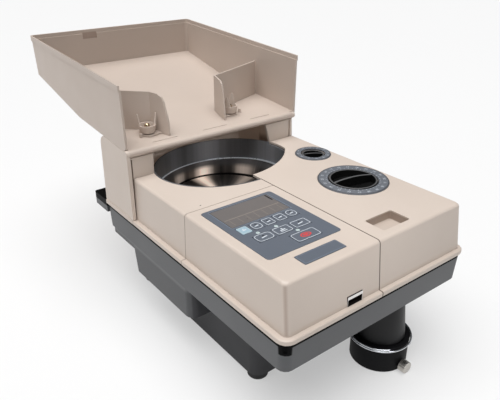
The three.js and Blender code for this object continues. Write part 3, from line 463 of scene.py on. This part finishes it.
beige = beige_plastic("beige_moulded", (0.61, 0.525, 0.46), (0.585, 0.50, 0.436))
tray_beige = beige_plastic("tray_moulded", (0.55, 0.465, 0.405), (0.53, 0.445, 0.385))
base_black = base_plastic()
tube_black = moulded("tube_black", (0.006, 0.006, 0.007), (0.010, 0.010, 0.011), 0.45, 0.03, 1100,
                     Specular_IOR_Level=0.3)
gloss_black = moulded("gloss_black", (0.004, 0.004, 0.004), (0.007, 0.007, 0.007), 0.3, 0.005,
                      Specular_IOR_Level=0.2)
collar_black = moulded("collar_black", (0.004, 0.004, 0.005), (0.007, 0.007, 0.008), 0.55, 0.03, 1100,
                       Specular_IOR_Level=0.12)
# The data port is painted near black, as shade for its shaded inside, in place of its metal.
port_in_shade = moulded("port_in_shade", (0.014, 0.011, 0.010), (0.020, 0.016, 0.015), 0.5, 0.01, 900,
                     Specular_IOR_Level=0.2)
# Grey of the knobs' rims, also used as a painted highlight along their finger bars.
grey_and_bar_highlight = moulded("knob_rim_grey", (0.115, 0.115, 0.118), (0.095, 0.095, 0.098), 0.4, 0.01, 900)
film = moulded("blue_grey_film", (0.118, 0.134, 0.163), (0.108, 0.124, 0.152), 0.36, 0.02, 2600)
film_rim = moulded("film_dark_rim", (0.055, 0.06, 0.07), (0.045, 0.05, 0.06), 0.4, 0.01, 2600)
ring_film = moulded("dial_ring_film", (0.150, 0.160, 0.180), (0.130, 0.140, 0.160), 0.34, 0.02, 2600)
pale_film = moulded("light_blue_film", (0.33, 0.46, 0.54), (0.30, 0.43, 0.51), 0.36, 0.02, 2600)
ink_white = moulded("ink_white", (0.62, 0.66, 0.70), (0.56, 0.60, 0.65), 0.5, 0.01, 2600)
ink_faint = moulded("ink_faint", (0.22, 0.26, 0.32), (0.19, 0.23, 0.29), 0.5, 0.01, 2600)
ink_red = moulded("ink_red", (0.62, 0.06, 0.06), (0.52, 0.05, 0.05), 0.5, 0.01, 2600)
ink_black = moulded("ink_black", (0.008, 0.008, 0.009), (0.012, 0.012, 0.013), 0.5, 0.01, 2600)
lens_pale = moulded("lens_pale", (0.50, 0.58, 0.58), (0.44, 0.52, 0.52), 0.2, 0.005, 900)
rubber = moulded("black_rubber", (0.018, 0.018, 0.019), (0.026, 0.026, 0.027), 0.78, 0.08, 700)
board = moulded("circuit_board", (0.02, 0.13, 0.06), (0.015, 0.10, 0.045), 0.4, 0.03, 900)
smoked = moulded("smoked_window", (0.158, 0.145, 0.140), (0.138, 0.126, 0.122), 0.3, 0.004)
smoked_line = moulded("smoked_line", (0.27, 0.235, 0.205), (0.24, 0.21, 0.185), 0.4, 0.004)
label_silver = moulded("blank_label", (0.50, 0.50, 0.49), (0.46, 0.46, 0.455), 0.4, 0.01, 2200)

BRUSHED = {"stretch": (1, 1, 40), "scale": 160}
steel = metal("brushed_steel", (0.42, 0.41, 0.40), (0.36, 0.35, 0.345), 0.3, **BRUSHED)
dull_steel = metal("dull_steel", (0.42, 0.42, 0.42), (0.34, 0.34, 0.345), 0.42, **BRUSHED, metallic=0.4)
chrome = metal("chrome_plate", (0.72, 0.74, 0.78), (0.66, 0.68, 0.72), 0.1, scale=60)
nickel = metal("nickel_plate", (0.56, 0.53, 0.49), (0.46, 0.44, 0.41), 0.26)
# Pale nickel for the data port's lip; its paleness is partly a painted highlight.
nickel_lip_highlight = metal("nickel_lip_highlight", (0.86, 0.85, 0.83), (0.78, 0.77, 0.76), 0.35, metallic=0.4)
brass = metal("brass_stud", (0.62, 0.50, 0.34), (0.50, 0.40, 0.27), 0.22)
# Painted highlight along the well's ledge: a pale colour and a faint glow.
ledge_highlight = metal("ledge_highlight", (0.50, 0.52, 0.56), (0.42, 0.44, 0.47), 0.3,
                   Emission_Color=(0.9, 0.95, 1, 1), Emission_Strength=0.16)
well_steel = spun_metal("well_steel", WELL_BANDS, 0.34)
disc_steel = spun_metal("disc_steel", DISC_BANDS, 0.3)

SLOT_MATERIALS = {
    "beige_plastic": beige,
    "black_plastic": base_black,
    "gloss_black": gloss_black,
    "blue_grey_film": film,
    "light_blue_film": pale_film,
    "smoked_window": smoked,
    "black_rubber": rubber,
    "brushed_metal": steel,
    "chrome_metal": chrome,
    "circuit_board": board,
}
NODE_MATERIALS = {
    "coin_tray": tray_beige,
    "tray_guide_left": tray_beige,
    "tray_guide_right": tray_beige,
    "guide_nut_left": tray_beige,
    "guide_nut_right": tray_beige,
    "well_wall": well_steel,
    "sorting_disc": disc_steel,
    "disc_spindle": disc_steel,
    "exit_tube": tube_black,
    "exit_collar": collar_black,
    "spindle_pulley": tube_black,
    "stop_solenoid": tube_black,
    "power_inlet": tube_black,
    "power_rocker": tube_black,
    "diameter_ring": ring_film,
    "thickness_ring": ring_film,
    "collar_screw": nickel,
    "guide_stud_left": nickel,
    "guide_stud_right": nickel,
    "deck_plate": dull_steel,
    "bottom_plate": dull_steel,
    "data_port": port_in_shade,
}

# ------------------------------------------------------------------ the CAD nodes' finish

WELD_DISTANCE = 2e-6
FLAT_WITHIN = math.radians(0.6)
ROUNDED_OVER = math.radians(32)
EDGE_ROUNDING = 0.4 * MM


def smoothing_group():
    """A node group that welds the facets' corners and shades them smooth."""
    group = bpy.data.node_groups.new("weld_and_smooth", "GeometryNodeTree")
    group.interface.new_socket("Geometry", in_out="INPUT", socket_type="NodeSocketGeometry")
    group.interface.new_socket("Geometry", in_out="OUTPUT", socket_type="NodeSocketGeometry")
    nodes = group.nodes
    start, end = nodes.new("NodeGroupInput"), nodes.new("NodeGroupOutput")
    drop = nodes.new("GeometryNodeRemoveAttribute")
    drop.inputs["Name"].default_value = "custom_normal"
    weld = nodes.new("GeometryNodeMergeByDistance")
    weld.inputs["Distance"].default_value = WELD_DISTANCE
    smooth = nodes.new("GeometryNodeSetShadeSmooth")
    group.links.new(start.outputs[0], drop.inputs["Geometry"])
    group.links.new(drop.outputs["Geometry"], weld.inputs["Geometry"])
    group.links.new(weld.outputs["Geometry"], smooth.inputs["Geometry"])
    group.links.new(smooth.outputs["Geometry"], end.inputs[0])
    return group


SMOOTHING = smoothing_group()


def finish_node(node, material):
    """Gives a CAD node its material and rounds its sharp edges by a few tenths of a millimetre."""
    part = frame["nodes"][node]
    part.data.materials.clear()
    part.data.materials.append(material)
    weld = part.modifiers.new("weld", "NODES")
    weld.node_group = SMOOTHING
    flat = part.modifiers.new("flat_faces", "DECIMATE")
    flat.decimate_type = "DISSOLVE"
    flat.angle_limit = FLAT_WITHIN
    round_edges = part.modifiers.new("round_edges", "BEVEL")
    round_edges.width = EDGE_ROUNDING
    round_edges.segments = 2
    round_edges.limit_method = "ANGLE"
    round_edges.angle_limit = ROUNDED_OVER
    round_edges.use_clamp_overlap = True
    weighted = part.modifiers.new("even_normals", "WEIGHTED_NORMAL")
    weighted.keep_sharp = True


slots = {s["node"]: s["material_slot"] for s in frame["record"]["subparts"]}
for node in frame["nodes"]:
    finish_node(node, NODE_MATERIALS.get(node, SLOT_MATERIALS[slots[node]]))

# ------------------------------------------------------------------ detail pieces


def add_piece(name, mesh, material, body):
    """An object for a mesh that is already in place, with its material and the body it rides."""
    mesh.materials.clear()
    mesh.materials.append(material)
    made = bpy.data.objects.new(name, mesh)
    bpy.context.scene.collection.objects.link(made)
    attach(made, body)
    return made


def piece(name, points, faces, material, body, smooth=False):
    """A closed mesh from points in millimetres from the flange's corner, riding a body."""
    mesh = bpy.data.meshes.new(name)
    mesh.from_pydata([at(*p) for p in points], [], faces)
    mesh.validate()
    mesh.update()
    for face in mesh.polygons:
        face.use_smooth = smooth
    add_piece(name, mesh, material, body)


def mesh_of(curve):
    """A curve turned into a mesh."""
    holder = bpy.data.objects.new(curve.name, curve)
    bpy.context.scene.collection.objects.link(holder)
    bpy.context.view_layer.update()
    mesh = bpy.data.meshes.new_from_object(holder.evaluated_get(bpy.context.evaluated_depsgraph_get()))
    bpy.data.objects.remove(holder)
    return mesh


def side_faces(rows, per_row, closed):
    """The faces between rows of points that follow one another; closed joins the last row to the first."""
    faces = []
    for row in range(rows if closed else rows - 1):
        a, b = row * per_row, (row + 1) % rows * per_row
        faces += [[a + k, b + k, b + (k + 1) % per_row, a + (k + 1) % per_row] for k in range(per_row)]
    return faces


def rounded(x, y, width, depth, radius, turn=0.0, steps=5):
    """A rounded rectangle's outline about (x, y), turned by some degrees."""
    c, s = math.cos(math.radians(turn)), math.sin(math.radians(turn))
    points = []
    for i, (sx, sy) in enumerate(((1, 1), (-1, 1), (-1, -1), (1, -1))):
        for k in range(steps + 1):
            a = math.radians(90 * i + 90 * k / steps)
            px = sx * (width / 2 - radius) + radius * math.cos(a)
            py = sy * (depth / 2 - radius) + radius * math.sin(a)
            points.append((x + c * px - s * py, y + s * px + c * py))
    return points


def oval(x, y, a, b, steps=32):
    """An ellipse's outline about (x, y), with its half widths."""
    turns = (2 * math.pi * i / steps for i in range(steps))
    return [(x + a * math.cos(t), y + b * math.sin(t)) for t in turns]


INK = 0.05
SUNK = 0.02


def printed(top, thickness=INK):
    """The bottom and top of print on a surface, which starts a little below that surface."""
    return top - SUNK, top + thickness


def plate(name, outline, heights, material, body="machine"):
    """A thin raised patch of print: a flat outline with a little thickness."""
    n = len(outline)
    points = [(x, y, z) for z in heights for x, y in outline]
    faces = [list(range(n))[::-1], list(range(n, 2 * n))]
    faces += [[i, (i + 1) % n, n + (i + 1) % n, n + i] for i in range(n)]
    piece(name, points, faces, material, body)


def frame_line(name, outer, inner, heights, material, body="machine"):
    """A thin raised line between two outlines that have equal numbers of points."""
    n = len(outer)
    low, high = heights
    loops = [(outer, low), (outer, high), (inner, high), (inner, low)]
    points = [(x, y, z) for loop, z in loops for x, y in loop]
    faces = []
    for k in range(4):
        a, b = k * n, ((k + 1) % 4) * n
        faces += [[a + i, a + (i + 1) % n, b + (i + 1) % n, b + i] for i in range(n)]
    piece(name, points, faces, material, body)


def lathe(name, x, y, profile, material, body="machine", steps=96):
    """A smooth turned piece about an upright axis; the profile is a closed loop of (radius, z)."""
    points = []
    for i in range(steps):
        t = 2 * math.pi * i / steps
        points += [(x + r * math.cos(t), y + r * math.sin(t), z) for r, z in profile]
    piece(name, points, side_faces(steps, len(profile), True), material, body, smooth=True)


KEY_CORNERS = {"key_2": 5, "key_5": 5.5, "key_6": 4, "key_9": 3}
PLAIN_KEY_CORNER = 2.2
WIDE_KEY = 15


def print_keys():
    """A line round each key and a small mark on it, printed on the key's own cap."""
    for name in (f"key_{i}" for i in range(1, 10)):
        x, y, width, depth, top = seen_from_above(name)
        ink = printed(top)
        radius = KEY_CORNERS.get(name, PLAIN_KEY_CORNER)
        frame_line(f"{name}_line", rounded(x, y, width - 0.8, depth - 0.8, radius),
                   rounded(x, y, width - 2.1, depth - 2.1, radius - 0.65), ink,
                   lens_pale if name == "key_1" else ink_white, name)
        if name == "key_9":
            frame_line("key_9_mark", oval(x, y, 6.6, 3.9), oval(x, y, 5.0, 2.4), ink, ink_red,
                       name)
            plate("key_9_dot", oval(x, y, 3.6, 1.5), ink, ink_red, name)
            continue
        mark = rounded(x, y - 0.4, 7.4 if width > WIDE_KEY else 5.2, 1.5, 0.7, 8)
        plate(f"{name}_mark", mark, ink, ink_white, name)
        tick = [(x - 1.6, y + 1.2), (x + 1.6, y + 1.2), (x, y + 3.2)]
        plate(f"{name}_tick", tick, ink, ink_white if name in ("key_1", "key_7") else ink_black,
              name)
    x, y, _, _, top = seen_from_above("key_7")
    bar = rounded(x, y - 2.8, 8.2, 1.1, 0.5)
    plate("key_7_bar", bar, printed(top), ink_white, "key_7")


# The lamps' places from the panel film's front left corner, and turned outlines as (radius, height above
# the surface).
PANEL_LAMPS = ((23.6, 45.7), (46.5, 45.2), (58.7, 26.1))
LAMP_PROFILE = [(0.01, -0.1), (2.25, -0.1), (2.2, 0.12), (1.6, 0.28), (0.01, 0.34)]
PIP_PROFILE = [(0.01, -0.05), (0.9, -0.05), (0.8, 0.08), (0.01, 0.12)]
DISPLAY_CELLS = 7


def print_panel():
    """Lamps and a window frame on the key panel, lines inside the window and round the front plate, and
    the small black pip on the cover behind the panel."""
    low, high = corners("control_overlay")
    top = high[2]
    for i, (right, back) in enumerate(PANEL_LAMPS):
        lathe(f"panel_lamp_{i + 1}", low[0] + right, low[1] + back, [(r, top + h) for r, h in LAMP_PROFILE],
              lens_pale, steps=24)
    x, y, width, depth, glass = seen_from_above("display_window")
    frame_line("display_line", rounded(x, y, width + 3.2, depth + 3.2, 1.2),
               rounded(x, y, width + 2.4, depth + 2.4, 0.8), printed(top), ink_faint)
    ink = printed(glass, 0.03)
    plate("display_divider", rounded(x, y - 4.1, width - 4.2, 1.1, 0.4), ink, smoked_line)
    for i in range(DISPLAY_CELLS):
        plate(f"display_cell_{i + 1}", rounded(x - 31.5 + 10.4 * i, y - 11.9, 0.5, 11.5, 0.2), ink,
              smoked_line)
    plate("display_shade", rounded(x + 35.4, y + 12.5, 2.2, 14, 0.6), ink, ink_black)
    x, y, width, depth, top = seen_from_above("nameplate")
    frame_line("nameplate_line", rounded(x, y, width - 2.7, depth - 2.7, 0.9),
               rounded(x, y, width - 3.3, depth - 3.3, 0.6), printed(top, 0.04), ink_faint)
    low, high = corners("disc_cover")
    lathe("cover_pip", low[0] + 32.3, low[1] + 7.4, [(r, high[2] + h) for r, h in PIP_PROFILE], ink_black,
          steps=16)


def dial(name, **figures):
    """A dial's figures, with its middle, its ring's radius and top and its knob's radius and top."""
    x, y, across, _, top = seen_from_above(f"{name}_ring")
    _, _, knob_across, _, crown = seen_from_above(f"{name}_knob")
    return {"name": name, "x": x, "y": y, "ring": across / 2, "top": top,
            "knob": round(knob_across / 2, 1), "crown": crown, **figures}


# hole is the ring's inner radius; rim is how far the knob's rim lies below its crown; turn is the heading
# of the knob's finger bar in degrees.
BIG = dial("diameter", hole=29.8, count=20, first=14, step=1, size=4.4, rim=2.7, turn=79)
SMALL = dial("thickness", hole=16, count=12, first=8, step=2, size=3.0, rim=1.2, turn=60)


def numeral(name, text, size, x, y, turn, z, body):
    """A printed number, turned to read outwards from a dial's middle."""
    curve = bpy.data.curves.new(name, "FONT")
    curve.body = text
    curve.size = size * MM
    curve.align_x, curve.align_y = "CENTER", "CENTER"
    curve.extrude = 0.02 * MM
    curve.resolution_u = 2
    mesh = mesh_of(curve)
    mesh.transform(Matrix.Translation(at(x, y, z)) @ Matrix.Rotation(math.radians(turn), 4, "Z"))
    add_piece(name, mesh, ink_white, body)


def print_dial(d):
    """Numbers and ticks round a dial ring, with a dark line at its outer and inner edge."""
    x, y, ring, hole, name = d["x"], d["y"], d["ring"], d["hole"], d["name"]
    ink, wide = printed(d["top"]), ring - hole
    for i in range(d["count"]):
        angle = 360 * i / d["count"]
        a = math.radians(angle)
        out = hole + wide * 0.56
        numeral(f"{name}_number_{i + 1}", str(d["first"] + d["step"] * i), d["size"], x + out * math.cos(a),
                y + out * math.sin(a), angle - 90, d["top"], "right_cover")
        out = hole + wide * 0.16
        for k, offset in enumerate((0, 180 / d["count"])):
            b = a + math.radians(offset)
            tick = rounded(x + out * math.cos(b), y + out * math.sin(b), wide * (0.2 - 0.08 * k), 0.5, 0.2,
                           math.degrees(b))
            plate(f"{name}_tick_{i + 1}_{k + 1}", tick, ink, ink_white, "right_cover")
    for edge, r0, r1 in (("outer", ring - 1.5, ring - 0.55), ("inner", hole + 0.15, hole + 0.8)):
        frame_line(f"{name}_ring_{edge}_edge", oval(x, y, r1, r1, 96), oval(x, y, r0, r0, 96), ink, film_rim,
                   "right_cover")


BAR_ROWS = 24


def knob_trim(d):
    """A satin grey face on a knob's rim, and a painted highlight in the same grey along the arched top of
    its finger bar.
    """
    x, y, radius, name = d["x"], d["y"], d["knob"], d["name"]
    rim_top = d["crown"] - d["rim"]
    body = f"{name}_knob"
    lathe(f"{name}_knob_rim", x, y, [(radius - 2.3, rim_top - 0.1), (radius - 0.5, rim_top - 0.1),
          (radius - 0.5, rim_top + 0.05), (radius - 2.3, rim_top + 0.05)], grey_and_bar_highlight, body)
    reach = radius - 1.4
    half = max(2.6, radius * 0.11) / 2 - 0.35
    c, s = math.cos(math.radians(d["turn"])), math.sin(math.radians(d["turn"]))
    # The strip along the bar's arched top is a painted highlight.
    rows = []
    for i in range(BAR_ROWS + 1):
        v = reach * (1 - 2 * i / BAR_ROWS)
        z = rim_top + d["rim"] * (1 - (v / reach) ** 2) + 0.03
        rows += [(-half, v, z), (half, v, z), (half, v, z - 0.5), (-half, v, z - 0.5)]
    points = [(x + c * u - s * v, y + s * u + c * v, z) for u, v, z in rows]
    last = len(points) - 1
    faces = [[0, 1, 2, 3], [last, last - 1, last - 2, last - 3]] + side_faces(BAR_ROWS + 1, 4, False)
    piece(f"{name}_knob_bar_highlight", points, faces, grey_and_bar_highlight, body)


def well_ledge():
    """A painted highlight, pale and faintly glowing, along the turned edge between the well's two bands."""
    frame_line("well_ledge_edge", oval(WELL_X, WELL_Y, WELL_WIDTH / 2 - 1.7, WELL_DEPTH / 2 - 1.7, 128),
               oval(WELL_X, WELL_Y, WELL_WIDTH / 2 - 4.9, WELL_DEPTH / 2 - 2.7, 128), (29.9, 30.9),
               ledge_highlight)


HOOP = {"turns": 1.86, "rise": 2.6, "radius": 35.5, "wire": 1.05, "points": 150, "drop": 1.2}


def bag_hoop():
    """The sprung wire hoop, round and smooth, in place of its faceted stand-in. It is wound from a little
    below the bag tube's end."""
    x, y, _ = middle("exit_collar")
    bottom = corners("exit_tube")[0][2]
    curve = bpy.data.curves.new("hoop_wire", "CURVE")
    curve.dimensions = "3D"
    curve.bevel_depth = HOOP["wire"] * MM
    curve.bevel_resolution = 4
    curve.use_fill_caps = True
    line = curve.splines.new("POLY")
    line.points.add(HOOP["points"] - 1)
    for i, point in enumerate(line.points):
        turned = HOOP["turns"] * i / (HOOP["points"] - 1)
        angle = turned * 2 * math.pi - 0.4 * math.pi
        point.co = (*at(x + HOOP["radius"] * math.cos(angle), y + HOOP["radius"] * math.sin(angle),
                        bottom + HOOP["rise"] * turned - HOOP["drop"]), 1)
    mesh = mesh_of(curve)
    for face in mesh.polygons:
        face.use_smooth = True
    made = add_piece("bag_hoop_wire", mesh, chrome, "bag_hoop")
    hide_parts("bag_hoop")


DOME_PROFILE = [(0.01, 5.2), (3.5, 5.2), (3.5, 8.2), (3.1, 9.6), (2.3, 10.6), (1.2, 11.2), (0.01, 11.4)]


def stud_domes():
    """The polished dome nuts that stand in the middle of the two clamp nuts."""
    for side in ("left", "right"):
        x, y, _ = middle(f"guide_nut_{side}")
        seat = round(corners(f"guide_nut_{side}")[0][2], 2)
        lathe(f"stud_dome_{side}", x, y, [(r, seat + h) for r, h in DOME_PROFILE], brass,
              "tray", 32)


def port_lip():
    """The folded lip round the data port's mouth, pale, and widest along its top, where it also stands for
    the highlight inside the mouth's top.
    """
    (x0, y0, z0), (x1, _, z1) = corners("data_port")
    x0, x1, z0, z1 = x0 + 0.05, x1 - 0.05, z0 + 0.05, z1 - 0.05
    front, back = y0 - 0.3, y0 + 0.05
    outer = [(x0, z0), (x1, z0), (x1, z1), (x0, z1)]
    inner = [(x0 + 0.35, z0 + 0.3), (x1 - 0.35, z0 + 0.3), (x1 - 0.35, z1 - 3.1), (x0 + 0.35, z1 - 3.1)]
    loops = ((outer, front), (outer, back), (inner, back), (inner, front))
    points = [(x, y, z) for loop, y in loops for x, z in loop]
    piece("port_lip", points, side_faces(4, 4, True), nickel_lip_highlight, "machine")


def rear_label():
    """A blank rating plate on the tub's back, beside the mains inlet and its switch."""
    low, high = corners("power_inlet")
    left, right, bottom, top = high[0] + 46, high[0] + 92, low[2] - 2, high[2]
    outline = [(left, bottom), (right, bottom), (right, top), (left, top)]
    points = [(x, y, z) for y in (high[1] - 3.7, high[1] - 3.0) for x, z in outline]
    faces = [[0, 1, 2, 3], [7, 6, 5, 4]] + side_faces(2, 4, False)
    piece("rating_plate", points, faces, label_silver, "machine")


print_keys()
print_panel()
print_dial(BIG)
print_dial(SMALL)
knob_trim(BIG)
knob_trim(SMALL)
well_ledge()
bag_hoop()
stud_domes()
port_lip()
rear_label()

bpy.context.view_layer.update()
